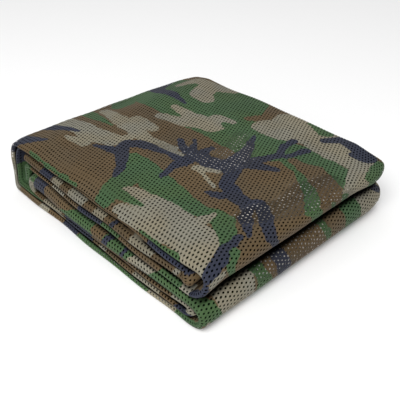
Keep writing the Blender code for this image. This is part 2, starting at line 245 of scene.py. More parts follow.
class Strip:
    """The path of the folded strip: its face and back in the XZ plane and its two edges along Y."""

    def __init__(self, pack_height):
        self.pack_height = pack_height
        self.sampled = {key: [] for key in SAMPLED}
        self.sample()

    def side(self, run, side, x):
        """Height of a run's face or back at x."""
        other = {"low": "high", "high": "low"}
        end = run["face"] if side == "face" else other[run["face"]]
        return stack_heights(x, self.pack_height)[run["name"]][end]

    def edges(self, run, x, layer):
        """The rolled front and rear edges of a run at x."""
        fronts = [run[column] for column in ("front_left", "front_middle", "front_right")]
        wander = edge_wave(x, layer)
        return eased(x, FRONT_PLACES, fronts) + wander, run["rear"] + wander

    def add(self, part, face, back, front, rear):
        """Append samples of one part of the path: a run's number, or a half more for the fold after it."""
        values = (face[0], face[1], back[0], back[1], front, rear, float(part))
        for key, value in zip(self.sampled, values):
            self.sampled[key].append(np.broadcast_to(value, np.shape(face[0])))

    def sample(self):
        """Sample the whole path finely, from the loose inner end to the last run's end."""
        self.sample_tail()
        for layer, run in enumerate(RUNS):
            x = np.linspace(run["start"], run["stop"], RUN_SAMPLES, endpoint=layer == len(RUNS) - 1)
            front, rear = self.edges(run, x, layer)
            self.add(layer, (x, self.side(run, "face", x)), (x, self.side(run, "back", x)), front, rear)
            if run["name"] in FOLDS:
                self.sample_fold(layer)
        self.sampled = {key: np.concatenate(parts) for key, parts in self.sampled.items()}

    def sample_fold(self, layer):
        """Sample the fold that follows a run."""
        run, following = RUNS[layer], RUNS[layer + 1]
        fold = FOLDS[run["name"]]
        share = np.arange(FOLD_SAMPLES) / FOLD_SAMPLES
        leaves, returns = run["stop"], following["start"]
        angle = math.pi * share
        reach = np.sin(angle) ** (2.0 / fold["square"])
        drop = np.sign(np.cos(angle)) * np.abs(np.cos(angle)) ** (2.0 / fold["square"])
        base = blend(leaves, returns, share)
        sides = []
        for side in ("face", "back"):
            top, foot = self.side(run, side, leaves), self.side(following, side, returns)
            rise = (top - foot) / 2 * drop
            z = (top + foot) / 2 + rise + fold["lift"] * reach ** np.where(rise > 0.0, LIFT_POWER, 1.0)
            sides.append((base + (fold[side + "_tip"] - base) * reach, z))
        before, after = self.edges(run, leaves, layer), self.edges(following, returns, layer + 1)
        front, rear = (blend(before[i], after[i], ease(share)) for i in (0, 1))
        front = front - fold["bulge"] * np.sin(angle)
        self.add(layer + 0.5, *sides, front, rear)

    def sample_tail(self):
        """Sample the loose inner end: up from its foot and round a quarter bend into the first run."""
        run = RUNS[0]
        start = run["start"]
        face_z, back_z = self.side(run, "face", start), self.side(run, "back", start)
        outer_x = TAIL["top_x"]
        inner_x = outer_x + TAIL["thickness"]
        slant = TAIL["foot_x"] - TAIL["top_x"]
        face_top, back_top = face_z - TAIL["inner_bend"], back_z - TAIL["outer_bend"]
        front, rear = self.edges(run, start, 0)
        share = np.arange(TAIL_SAMPLES) / TAIL_SAMPLES
        lean = slant * (1.0 - share) ** 2
        face = (inner_x + lean, blend(TAIL["foot"], face_top, share))
        back = (outer_x + lean, blend(TAIL["foot"], back_top, share))
        self.add(LOOSE_END, face, back, front, rear)
        along, rise = 1.0 - np.cos(0.5 * math.pi * share), np.sin(0.5 * math.pi * share)
        face = (blend(inner_x, start, along), blend(face_top, face_z, rise))
        back = (blend(outer_x, start, along), blend(back_top, back_z, rise))
        self.add(LOOSE_END, face, back, front, rear)

    def at_columns(self, pitch):
        """The path sampled at even steps of cloth length."""
        s = self.sampled
        steps = [np.hypot(np.diff(s[side + "_x"]), np.diff(s[side + "_z"])) for side in ("face", "back")]
        length = np.concatenate([[0.0], np.cumsum(np.maximum(*steps))])
        count = 2 * int(length[-1] / pitch / 2.0) + 1
        places = np.arange(count) * pitch
        columns = {key: np.interp(places, length, s[key]) for key in s}
        columns["part"] = s["part"][np.searchsorted(length, places, side="right") - 1]
        through = [columns["face" + axis] - columns["back" + axis] for axis in ("_x", "_z")]
        columns["thick"] = np.hypot(*through)
        return columns


def arc(middle, radius, low, high, start, stop, steps):
    """Points (y, share) on a half-ellipse from start to stop degrees, toward +Y if the radius is positive."""
    turn = np.radians(np.linspace(start, stop, steps))
    rise = 0.5 - 0.5 * np.cos(turn)
    return [(middle + radius * math.sin(a), low + (high - low) * r) for a, r in zip(turn, rise)]


def ply_curve(thick, front, rear):
    """The rolled cloth across one station: points (y, share of thickness) and the cloth length at each.

    The length is nought at the middle of the front edge and falls toward the outer edge.
    """
    radius = 0.5 * EDGE_SQUARE * thick
    inner_front, inner_rear = front + radius, rear - radius
    third = min(THIRD_PLY, PLY_STEP / thick)
    nest = max(NEST_LEAST, radius - NEST)
    curve = [(inner_rear - LAP, 1.0 + LAP_CLEAR / thick)]
    curve += arc(inner_rear, radius, 0.0, 1.0, 180.0, 0.0, LAP_STEPS)
    front_middle = len(curve) + EDGE_STEPS // 2
    curve += arc(inner_front, -radius, 0.0, 1.0, 0.0, 180.0, EDGE_STEPS)
    curve += arc(inner_rear, nest, 0.5 * third, 1.0, 180.0, 0.0, BACK_STEPS)
    curve += [(inner_rear - THIRD_SHORT, third)]
    curve += arc(inner_front, -INNER_ROLL * radius, third, FOURTH_PLY, 0.0, 180.0, INNER_STEPS)
    points = np.array(curve + [(inner_rear - FOURTH_SHORT, FOURTH_PLY)])
    steps = np.hypot(np.diff(points[:, 0]), np.diff(points[:, 1]) * thick)
    length = np.concatenate([[0.0], np.cumsum(steps)])
    return points, length - length[front_middle]


def settle(x, y, z, pack_height):
    """Let the squared-up pack settle: it sags at its lips and over the left fold, and lies skewed."""
    half_depth, half_length = STRIP_DEPTH / 2.0, STRIP_LENGTH / 2.0
    front = FRONT_SAG * ease((-y - (half_depth - FRONT_REACH)) / FRONT_REACH)
    rear = REAR_SAG * ease((y - (half_depth - REAR_REACH)) / REAR_REACH)
    side = SIDE_SAG * ease((-x - (half_length - SIDE_REACH)) / SIDE_REACH)
    corner = CORNER_SAG * between(x, CORNER_SAG_X) * between(y, CORNER_SAG_Y)
    sag = sum(share**SAG_POWER for share in (front, rear, side, corner)) ** (1.0 / SAG_POWER)
    skew = blend(FRONT_SKEW, REAR_SKEW, 0.5 + y / STRIP_DEPTH)
    rise = z / pack_height
    toward_right = x / half_length
    twist = UPPER_TWIST * y * rise * np.maximum(0.0, toward_right)
    lean = LEFT_LEAN * (1.0 - rise) * np.maximum(0.0, -toward_right)
    lift = RIGHT_LIFT * between(x, LIFT_X) * between(y, LIFT_Y)
    raised = z + lift * 4.0 * rise * (1.0 - rise)   # all of the lift at half height, none at floor and top
    return draw_in_corners(x, y, rise) + twist + lean, y + skew * x, raised * (1.0 - sag)


def draw_in_corners(x, y, rise):
    """Draw points in along X where the plan of the pack has a rounded corner."""
    beyond = np.maximum(0.0, np.abs(x) - CORNER_START)
    edge = STRIP_DEPTH / 2.0 - CORNER_REACH
    toward_rear = np.maximum(0.0, (y - edge) / CORNER_REACH) ** CORNER_POWER
    toward_front = np.maximum(0.0, (-y - edge) / CORNER_REACH) ** CORNER_POWER
    right = blend(BACK_RIGHT_LOW, BACK_RIGHT_HIGH, rise) * toward_rear
    left = BACK_LEFT_ROUND * toward_rear + FRONT_LEFT_ROUND * toward_front
    drawn = np.where(x > 0.0, right, left)
    return np.where(beyond > 0.0, np.sign(x) * (CORNER_START + beyond * (1.0 - drawn)), x)


class Cloth:
    """The rolled and folded cloth as a surface over its flat layout, in half columns and half rows."""

    def __init__(self, pack_height, pitch, row_pitch):
        self.pack_height = pack_height
        self.pitch = pitch
        self.row_pitch = row_pitch
        self.columns = Strip(pack_height).at_columns(pitch / 2.0)
        c = self.columns
        curves = [ply_curve(*station) for station in zip(c["thick"], c["front"], c["rear"])]
        reach = min(length[-1] for _, length in curves)
        start = -FACE_ROWS * row_pitch
        self.rows = int((reach - start) / row_pitch)
        self.half_columns = len(c["thick"]) - 1
        across = start + np.arange(self.rows * SAMPLES_PER_ROW + 1) * row_pitch / SAMPLES_PER_ROW
        self.y = np.array([np.interp(across, length, points[:, 0]) for points, length in curves])
        self.share = np.array([np.interp(across, length, points[:, 1]) for points, length in curves])

    def at(self, column, row, lift=0.0):
        """Positions at places given in half columns and rows, both with fractions.

        Lift, from 0 to 1, brings the ply that lies under the face up against it.
        """
        column, row = np.asarray(column, float), np.asarray(row, float) * SAMPLES_PER_ROW
        i = np.clip(column.astype(int), 0, self.half_columns - 1)
        j = np.clip(row.astype(int), 0, self.rows * SAMPLES_PER_ROW - 1)
        f, g = column - i, row - j
        y, share = (
            (t[i, j] * (1 - g) + t[i, j + 1] * g) * (1 - f)
            + (t[i + 1, j] * (1 - g) + t[i + 1, j + 1] * g) * f
            for t in (self.y, self.share)
        )
        ends = {key: self.columns[key][i] * (1 - f) + self.columns[key][i + 1] * f for key in self.columns}
        share = blend(share, PLY_CLOSE / ends["thick"], lift)
        x = blend(ends["face_x"], ends["back_x"], share)
        z = blend(ends["face_z"], ends["back_z"], share)
        return np.stack(settle(x, y, z, self.pack_height), axis=-1)


# ---- the mesh of the cloth
EDGE_CURVE = 0.43          # half the curve of a rolled edge, as a share of the strip's thickness
EDGE_ROOM = 0.8            # millimetres of small cells past it
FINE_ROWS = 2              # rows each side of the front edge's middle whose cells have their sides halved
REAR_SHIFT = 0.15          # how much longer the cloth's way to the rear roll is, as a share of the thickness
HIDDEN_BLOCK = (3, 8)      # columns and rows in one block of hidden cloth
UNDER_BLOCK = (2, 2)       # the same where the cloth shows through the holes or from below
REAR_OPEN_ROWS = 2         # rows kept small at the outer edge
REAR_ROWS = 3              # rows kept small each side of the middle of the inner rear roll
FACE_MARGIN = 122.0        # how far along X the rows of holes run on under the right folds
RIM_ANGLES = (-90.0, -30.0, 30.0, 90.0, 150.0, 210.0)   # directions of the points round a hole, in degrees


class NetMesh:
    """Vertices and faces of the cloth: cells with a hole each where it shows, larger blocks elsewhere."""

    def __init__(self, cloth, hole):
        self.cloth = cloth
        self.hole = hole
        self.corner = {}
        self.places = []
        self.middles = []
        self.rim = []
        self.closed = []
        self.faces = []
        self.count_columns = cloth.half_columns // 2
        self.mark_cells()
        self.adding_blocks = False
        self.add_cells()
        self.adding_blocks = True
        self.add_blocks(list(self.block_bounds()))

    def column_values(self, key):
        """A value of the strip at the middle of every column."""
        return self.cloth.columns[key][1::2]

    def mark_cells(self):
        """Mark the cells that get a hole, those whose sides get a middle vertex, and the small ones."""
        rows, pitch = self.cloth.rows, self.cloth.row_pitch
        part, x, thick = (self.column_values(key) for key in ("part", "face_x", "thick"))
        under_folds = (x > FACE_MARGIN) & np.isin(part, (UPPER_INNER, BOTTOM_COVER, LOWER_ROLL))
        face = np.isin(part, (UPPER_RIGHT_FOLD, TOP_COVER, LEFT_FOLD, LOWER_RIGHT_FOLD)) | under_folds
        self.under = face | (part == BOTTOM_COVER)
        row = np.arange(rows)[None, :]
        reach = np.ceil((EDGE_CURVE * thick + EDGE_ROOM) / pitch)[:, None] + 1
        front = (row >= FACE_ROWS - reach) & (row < FACE_ROWS + reach)
        depth = self.column_values("rear") - self.column_values("front")
        middle = (depth + REAR_SHIFT * thick)[:, None] / pitch + FACE_ROWS
        rear = np.abs(row + 0.5 - middle) < REAR_ROWS
        self.open = front | (face[:, None] & (row < FACE_ROWS))
        self.fine = (np.abs(row + 0.5 - FACE_ROWS) < FINE_ROWS) & front
        self.small = (row < REAR_OPEN_ROWS) | rear

    def block_bounds(self):
        """First column, last column, first row and last row of every block of cells without holes."""
        part = self.column_values("part")
        column = 0
        while column < self.count_columns:
            width, height = UNDER_BLOCK if self.under[column] else HIDDEN_BLOCK
            if part[column] % 1:
                width = 1
            stop = column + 1
            while stop < min(self.count_columns, column + width) and self.alike(column, stop, part):
                stop += 1
            yield from self.row_bounds(column, stop, height)
            column = stop

    def alike(self, column, other, part):
        """Whether two columns can share blocks."""
        same = self.under[column] == self.under[other] and part[column] == part[other]
        same = same and (self.open[column] == self.open[other]).all()
        return same and (self.small[column] == self.small[other]).all()

    def row_bounds(self, column, stop, height):
        """The blocks of one band of columns."""
        shut, small = ~self.open[column], self.small[column]
        row = 0
        while row < self.cloth.rows:
            end = row + 1
            if shut[row]:
                limit = end if small[row] else (row // height + 1) * height
                while end < min(limit, self.cloth.rows) and shut[end] and not small[end]:
                    end += 1
                yield column, stop, row, end
            row = end

    def vertex(self, column, row):
        """Number of the vertex at a place in half columns and half rows."""
        key = (column, row)
        if key not in self.corner:
            self.corner[key] = len(self.places)
            self.places.append((column, row / 2.0))
            self.middles.append(self.places[-1])
            self.rim.append(0.0)
            self.closed.append(1.0 if self.adding_blocks else 0.0)
        return self.corner[key]

    def add_cells(self):
        """Add a ring of faces round every hole, and half cells where the rows of holes end."""
        for row in range(self.cloth.rows):
            open_row, fine_row = self.open[:, row], self.fine[:, row]
            for column in map(int, np.flatnonzero(open_row)):
                fine = fine_row[column]
                if row % 2 == 0:
                    self.add_cell(2 * column, row, fine, fine)
                    continue
                following = column + 1 < self.count_columns and open_row[column + 1]
                leading = column > 0 and open_row[column - 1]
                if following:
                    self.add_cell(2 * column + 1, row, fine, fine_row[column + 1])
                else:
                    self.add_half(2 * column + 1, row, fine)
                if not leading:
                    self.add_half(2 * column, row, fine)

    def side(self, column, row, fine):
        """The middle vertex of a cell's side, if it has one."""
        return [self.vertex(column, 2 * row + 1)] if fine else []

    def add_half(self, column, row, fine):
        """Half a cell, without a hole."""
        low, high = 2 * row, 2 * row + 2
        loop = [self.vertex(column, low), self.vertex(column + 1, low)]
        loop += self.side(column + 1, row, fine)
        loop += [self.vertex(column + 1, high), self.vertex(column, high)]
        self.faces.append(loop + self.side(column, row, fine))

    def add_cell(self, column, row, fine_left, fine_right):
        """One cell with a hole in its middle."""
        low, high = 2 * row, 2 * row + 2
        outer = [[self.vertex(column + step, low)] for step in range(3)]
        outer += [[self.vertex(column + 2 - step, high)] for step in range(3)]
        outer[2] += self.side(column + 2, row, fine_right)
        outer[5] += self.side(column, row, fine_left)
        rim = self.add_rim(column + 1, row + 0.5)
        inner = rim[-1:] + rim[:-1]
        for corner in range(len(outer)):
            following = (corner + 1) % len(outer)
            self.faces.append([*outer[corner], outer[following][0], inner[following], inner[corner]])

    def add_rim(self, column, row):
        """The vertices round one hole, anticlockwise from its outer side across the strip."""
        first = len(self.places)
        for angle in map(math.radians, RIM_ANGLES):
            along = self.hole["length"] / self.cloth.pitch * math.cos(angle)
            across = 0.5 * self.hole["width"] / self.cloth.row_pitch * math.sin(angle)
            self.places.append((column + along, row + across))
            self.middles.append((column, row))
            self.rim.append(1.0)
            self.closed.append(0.0)
        return list(range(first, first + len(RIM_ANGLES)))

    def add_blocks(self, blocks):
        """Add the blocks, each with every vertex that its neighbours have along its edge."""
        used = self.corner
        halves = [[2 * bound for bound in block] for block in blocks]
        for left, right, bottom, top in halves:
            for column in (left, right):
                for row in (bottom, top):
                    self.vertex(column, row)
        for left, right, bottom, top in halves:
            edge = [(i, bottom) for i in range(left, right)]
            edge += [(right, j) for j in range(bottom, top)]
            edge += [(i, top) for i in range(right, left, -1)]
            edge += [(left, j) for j in range(top, bottom, -1)]
            self.faces.append([used[key] for key in edge if key in used])


# ---- the camouflage
# A patch is a colour and a chain of round brush marks (place, place, half width), joined up as it goes. The
# marks are laid down roughly, on a lattice of 5 mm, and the material makes their edges wander. Later patches
# lie over earlier ones.
COLOURS = ("khaki", "brown", "green", "navy")
FIELD_REACH = 8.0          # how far from an edge between two colours the fields run
FAR_OUTSIDE = -1000.0      # depth in a patch of a place that is nowhere near it

PATCH_COLUMNS = ("colour", "marks")

# Patches on the top, in X and Y.
TOP_BASE = "brown"
TOP = (
    ("green", ((-145, 50, 25), (-70, 60, 35), (-20, 60, 40), (50, 50, 27), (75, 65, 16))),
    ("green", ((-145, 85, 22), (-60, 95, 33), (-20, 95, 32))),
    ("green", ((75, 65, 14), (130, 65, 12), (150, 45, 10))),
    ("green", ((-140, 20, 17), (-130, 5, 9))),
    ("brown", ((0, 125, 10), (10, 100, 10), (-5, 85, 5))),
    ("brown", ((-30, 15, 8), (0, 15, 8), (35, 10, 10))),
    ("khaki", ((-120, 115, 9), (-90, 115, 12), (-65, 125, 5))),
    ("khaki", ((-120, 110, 9), (-125, 90, 5))),
    ("khaki", ((-95, 110, 12), (-85, 90, 14), (-70, 85, 9))),
    ("khaki", ((-80, 45, 5), (-45, 45, 10), (-20, 45, 14))),
    ("khaki", ((-75, 20, 6), (-45, 30, 9), (-30, 40, 11))),
    ("khaki", ((-30, 60, 7), (-10, 65, 4))),
    ("green", ((0, 55, 6), (-15, 55, 3))),
    ("khaki", ((-85, -5, 9), (-60, -5, 8))),
    ("khaki", ((-130, -15, 6), (-75, -20, 12), (-45, -25, 8), (-10, -15, 3))),
    ("khaki", ((-145, -60, 12), (-90, -55, 16), (-65, -50, 12), (-60, -40, 9))),
    ("green", ((-140, -30, 8), (-95, -35, 5))),
    ("brown", ((-140, -45, 5), (-70, -35, 5))),
    ("brown", ((-145, -90, 15), (-95, -75, 4))),
    ("brown", ((-145, -105, 17), (-80, -95, 18), (-20, -105, 17))),
    ("khaki", ((-105, -80, 3), (-80, -75, 6))),
    ("green", ((-20, -60, 14), (30, -70, 16), (80, -70, 9), (105, -65, 10), (125, -80, 9), (135, -95, 4))),
    ("green", ((0, -80, 13), (5, -100, 12), (10, -115, 10))),
    ("khaki", ((20, -95, 9), (65, -95, 17), (110, -100, 19), (140, -125, 7))),
    ("khaki", ((95, -65, 2), (95, -80, 7))),
    ("khaki", ((80, -110, 13), (30, -115, 6))),
    ("green", ((10, -105, 7), (45, -100, 2))),
    ("green", ((65, -120, 2), (110, -120, 3))),
    ("khaki", ((20, 85, 15), (45, 85, 13))),
    ("khaki", ((25, 115, 14), (30, 100, 15), (75, 95, 14), (100, 95, 18), (135, 90, 12))),
    ("khaki", ((45, 120, 12), (110, 115, 12), (150, 90, 10))),
    ("khaki", ((135, 90, 11), (145, 65, 9), (155, 45, 8))),
    ("green", ((50, 125, 5), (70, 120, 9))),
    ("green", ((140, 115, 7), (150, 80, 5))),
    ("navy", ((90, 120, 7), (125, 115, 9))),
    ("navy", ((90, 120, 7), (80, 105, 5))),
    ("navy", ((115, 105, 5), (125, 110, 7))),
    ("brown", ((85, 50, 5), (110, 55, 6), (140, 40, 7), (155, 20, 7))),
    ("brown", ((75, 5, 16), (120, 0, 24), (145, -25, 22))),
    ("green", ((70, 45, 5), (90, 40, 3), (105, 35, 4), (135, 15, 7), (155, -10, 6))),
    ("navy", ((60, 80, 5), (60, 65, 4), (70, 45, 4), (60, 25, 7), (55, 15, 10))),
    ("navy", ((25, 60, 2), (40, 35, 6), (50, 5, 12))),
    ("navy", ((80, 75, 5), (75, 50, 3))),
    ("navy", ((60, 15, 8), (85, 25, 4))),
    ("navy", ((-20, 0, 3), (-5, -10, 4), (15, -10, 9), (30, -10, 9), (45, -5, 12))),
    ("navy", ((-10, 10, 2), (5, -5, 4))),
    ("navy", ((15, 10, 3), (15, -5, 6))),
    ("navy", ((55, 0, 8), (70, -25, 7), (95, -35, 10), (105, -35, 9))),
    ("navy", ((85, -40, 6), (65, -45, 2))),
    ("navy", ((105, -40, 9), (135, -65, 2))),
    ("navy", ((110, -25, 6), (125, -35, 7), (150, -55, 5))),
    ("navy", ((15, -15, 8), (15, -35, 7), (20, -60, 2))),
    ("navy", ((-70, -70, 2), (-45, -60, 7), (-50, -45, 7), (-40, -35, 7), (-10, -25, 5), (10, -25, 6))),
    ("khaki", ((-25, -20, 5), (5, -20, 2))),
    ("navy", ((-45, -55, 8), (-20, -75, 5), (-10, -90, 2))),
    ("brown", ((-30, -45, 5), (0, -40, 5))),
    ("brown", ((30, -40, 11), (50, -45, 11), (105, -50, 6))),
    ("khaki", ((30, -25, 4), (50, -15, 3))),
    ("khaki", ((35, -25, 3), (65, -35, 1))),
    ("navy", ((65, -45, 2), (80, -40, 6))),
    ("navy", ((130, -70, 3), (135, -90, 6), (150, -130, 9))),
    ("green", ((140, -85, 4), (155, -105, 3))),
    ("navy", ((-150, 100, 6), (-140, 65, 9), (-105, 65, 6), (-80, 60, 2))),
    ("navy", ((-145, -80, 8), (-105, -65, 2))),
    ("navy", ((-150, -120, 13), (-115, -100, 3))),
    ("green", ((-110, -120, 2), (-30, -120, 2))),
)

# Patches on the two folds at the right, in Y and Z.
RIGHT_BASE = "brown"
RIGHT_UPPER = (
    ("navy", ((-140, 60, 12), (-115, 60, 6))),
    ("navy", ((-140, 60, 16), (-135, 40, 16))),
    ("khaki", ((-115, 45, 4), (-105, 50, 4))),
    ("green", ((-100, 65, 5), (-95, 45, 4))),
    ("navy", ((-55, 65, 4), (-45, 45, 4))),
    ("green", ((0, 65, 6), (10, 40, 7))),
    ("green", ((25, 65, 3), (30, 45, 3))),
    ("green", ((40, 65, 4), (50, 40, 5))),
    ("khaki", ((60, 70, 14), (70, 35, 16))),
    ("green", ((90, 70, 14), (105, 35, 20))),
)
RIGHT_LOWER = (
    ("green", ((-140, 35, 16), (-110, 10, 7))),
    ("green", ((-140, 30, 16), (-140, 5, 14))),
    ("khaki", ((-120, 10, 2), (-120, 5, 4))),
    ("khaki", ((-100, 40, 13), (-90, 5, 15))),
    ("khaki", ((-80, 40, 11), (-80, 5, 11))),
    ("green", ((-70, 40, 4), (-60, 25, 6), (-55, 5, 11))),
    ("navy", ((-40, 45, 7), (-30, 5, 9))),
    ("green", ((15, 45, 4), (30, 15, 4))),
    ("green", ((60, 45, 13), (70, 5, 12))),
    ("khaki", ((85, 45, 12), (95, 5, 14))),
    ("khaki", ((110, 30, 10), (110, 15, 10))),
    ("navy", ((95, 40, 4), (115, 25, 3))),
)

# Patches along the front of the thick lower roll, in X and Z.
ROLL_BASE = "green"
ROLL = (
    ("khaki", ((-110, 20, 7), (-100, 20, 6))),
    ("navy", ((-90, 20, 9), (-85, 35, 11))),
    ("brown", ((-75, 15, 6), (-65, 25, 13), (-50, 30, 8), (-15, 35, 2))),
    ("brown", ((10, 25, 7), (15, 15, 6), (15, 35, 6))),
    ("navy", ((15, 10, 3), (35, 40, 3))),
    ("navy", ((45, 15, 2), (55, 40, 2))),
    ("khaki", ((60, 20, 6), (70, 25, 9), (90, 35, 6))),
    ("khaki", ((65, 20, 6), (80, 25, 5))),
)

# Bands of colour along the front of the other layers, from place to place along X. The slant is how far a
# band moves along X for every millimetre up.
BAND_BASE = "brown"
BAND_COLUMNS = ("colour", "from", "to", "slant")
BANDS = {
    "upper lining": (
        ("navy", 75, 150, 0.5),
    ),
    "upper middle": (
        ("navy", -85, -65, 0.7),
        ("khaki", -65, -50, 0.5),
        ("khaki", -35, -10, 0.5),
        ("khaki", 5, 20, 0.5),
        ("navy", 30, 35, 0.7),
        ("khaki", 55, 85, 0.5),
        ("khaki", 110, 115, 0.5),
    ),
    "upper inner": (
        ("khaki", -65, -45, 0.5),
        ("navy", -20, 15, 0.5),
        ("green", 15, 40, 0.5),
        ("green", 95, 120, 0.5),
        ("khaki", 120, 145, 0.5),
    ),
    "lower inner": (
        ("khaki", -80, -50, 0.5),
        ("navy", -45, 0, 0.6),
        ("khaki", 110, 150, 0.6),
    ),
    "lower lining": (
        ("green", -150, -85, 0.5),
        ("khaki", -80, -50, 0.5),
        ("navy", -45, 0, 0.5),
        ("khaki", 10, 20, 0.5),
        ("khaki", 60, 95, 0.5),
        ("navy", 115, 150, 0.5),
    ),
    "bottom cover": (
        ("khaki", -90, -75, 0.8),
        ("navy", -50, -25, 0.8),
        ("green", -25, 80, 0.8),
        ("khaki", 80, 115, 0.8),
        ("green", 115, 165, 0.8),
    ),
}

# Colours at the front of the fold after a layer: the low one, the high one and the height where they change.
FOLD_COLOURS = table(("layer", "low", "high", "change"), (
    ("upper inner", "khaki", "khaki", 0.0),
    ("top cover", "khaki", "navy", 42.0),
    ("lower inner", "navy", "khaki", 11.5),
    ("lower lining", "green", "navy", 30.0),
    ("upper lining", "brown", "navy", 45.5),
))
TAIL_COLOUR = "green"

# The rows between which the cloth lies as the ply under the strip's face.
UNDER_FACE = (2 * FACE_ROWS + 3, 3 * FACE_ROWS - 2)

# How light the front of a layer is beside the rest.
LAYER_LIGHT = {"upper middle": 0.83, "lower roll": 1.06, "bottom cover": 1.27}

# Where one table gives way to another: the places where the change begins and where it is full.
FRONT_EDGE = (60.0, 100.0)      # -y, from the scattered camouflage to that of the front edges
FRONT_LIGHT = (90.0, 110.0)     # -y, the same for how light a layer is
RIGHT_EDGE_X = (110.0, 118.0)   # x, to the patches of the right folds on the layers that run into them
RIGHT_EDGE_Y = (-118.0, -112.0)
OVER_THE_TOP = (52.0, 56.0)     # height on the folds, to the patches of the top

# Painted shade: the dark line in the gap between the two folds at the right.
GAP_SHADE_REACH_UP = 1.6     # how far up it is seen
GAP_SHADE_REACH_DOWN = 4.0   # how far down
GAP_SHADE_Y = (-130.0, -112.0)    # y where it begins and where it is full


def lay(fields, colour, depth):
    """Lay a colour over the fields; depth is how far inside its patch each place lies, negative outside."""
    index = COLOURS.index(colour)
    own = np.maximum(fields[:, index], depth)
    np.minimum(fields, -depth[:, None], out=fields)
    fields[:, index] = own


def blank(base, count):
    """Fields of one colour all over."""
    fields = np.full((count, len(COLOURS)), -FIELD_REACH)
    fields[:, COLOURS.index(base)] = FIELD_REACH
    return fields


def chain_depth(places, marks):
    """How far inside a chain of brush marks each place lies."""
    depth = np.full(len(places), FAR_OUTSIDE)
    for (a0, b0, w0), (a1, b1, w1) in zip(marks, marks[1:]):
        start, step = np.array((a0, b0)), np.array((a1 - a0, b1 - b0))
        share = np.clip((places - start) @ step / max(step @ step, 1e-9), 0.0, 1.0)
        away = np.linalg.norm(places - start - share[:, None] * step, axis=1)
        depth = np.maximum(depth, blend(w0, w1, share) - away)
    return depth


def deepest(places, chains):
    """How far inside any of the chains each place lies."""
    return np.maximum.reduce([chain_depth(places, marks) for marks in chains])


def paint_patches(places, base, patches):
    """Fields from a table of patches."""
    fields = blank(base, len(places))
    for patch in table(PATCH_COLUMNS, patches):
        lay(fields, patch["colour"], chain_depth(places, patch["marks"]))
    return fields


def paint_bands(x, rise, bands):
    """Fields of one layer from its bands; rise is the height over the middle of the layer."""
    fields = blank(BAND_BASE, len(x))
    for band in table(BAND_COLUMNS, bands):
        along = x - band["slant"] * rise
        lay(fields, band["colour"], np.minimum(along - band["from"], band["to"] - along))
    return fields


SCATTER_SEED = 7
SCATTER_WAVES = 16
SCATTER_LENGTHS = (48.0, 150.0)   # shortest and longest wave
SCATTER_STRETCH = 0.7      # how much slower the fields change along the strip than across it
SCATTER_BASE = "khaki"
SCATTER_SIZE = 11.0        # millimetres for one standard step of a random field
SCATTER_PATCHES = (("brown", 0.15), ("green", -0.1))   # colour, and how far its field is raised
LINE_HALF = 5.5            # half width of the navy lines
LINE_FALL = 14.0           # millimetres for one standard step of the field that they follow
LINE_SIZE = 8.0            # the same for the field that ends them
LINE_RAISED = 0.3          # how far that field is raised


def random_fields(flat, count):
    """Smooth random fields over the flat cloth, each of mean nought and deviation one."""
    rng = np.random.default_rng(SCATTER_SEED)
    fields = []
    for _ in range(count):
        total = np.zeros(len(flat))
        for _ in range(SCATTER_WAVES):
            wave = 2.0 * math.pi / rng.uniform(*SCATTER_LENGTHS)
            angle, phase = rng.uniform(0.0, 2.0 * math.pi, 2)
            along, across = SCATTER_STRETCH * math.cos(angle) * flat[:, 0], math.sin(angle) * flat[:, 1]
            total += np.cos(wave * (along + across) + phase)
        fields.append(total / math.sqrt(SCATTER_WAVES / 2.0))
    return fields


def paint_scattered(flat):
    """The same camouflage strewn at random, for the cloth that lies out of sight and at the back."""
    *patches, line, ends = random_fields(flat, len(SCATTER_PATCHES) + 2)
    fields = blank(SCATTER_BASE, len(flat))
    for (colour, raised), patch in zip(SCATTER_PATCHES, patches):
        lay(fields, colour, SCATTER_SIZE * (patch + raised))
    lay(fields, "navy", np.minimum(LINE_HALF - LINE_FALL * np.abs(line), LINE_SIZE * (ends + LINE_RAISED)))
    return fields


# Where the ply close under the face is pale and lies right against it, as chains of round marks: on the top,
# in X and Y, and on the right folds, in Y and Z.
# There the pale ply is also painted light: it is made brighter than the face, as if lit through the holes.
LIGHT_TOP = (
    ((15, 50, 9), (30, 35, 15), (45, 15, 15), (40, 0, 13)),
    ((20, 15, 7), (35, 15, 7)),
    ((-30, -25, 4), (0, -10, 9), (25, -10, 10), (50, -5, 10)),
    ((115, -50, 9), (120, -35, 13), (130, -10, 14), (130, 20, 20), (130, 45, 12)),
)
LIGHT_RIGHT = (
    ((-60, 25, 8), (-20, 25, 13), (20, 25, 11)),
    ((25, 50, 6), (50, 50, 7)),
)
PALE_OVER_EDGE = 53.0      # height on the upper right fold above which the marks of the top count too
# Where that ply has the face's own colour and lies against it, so that the holes hardly show.
CLOSE_TOP = (
    ((-65, -112, 8), (10, -110, 9), (45, -112, 7)),
    ((-140, 60, 15), (-125, 30, 15), (-120, -20, 12)),
)
CLOSE_REACH = 14.0         # millimetres over which it comes up against the face


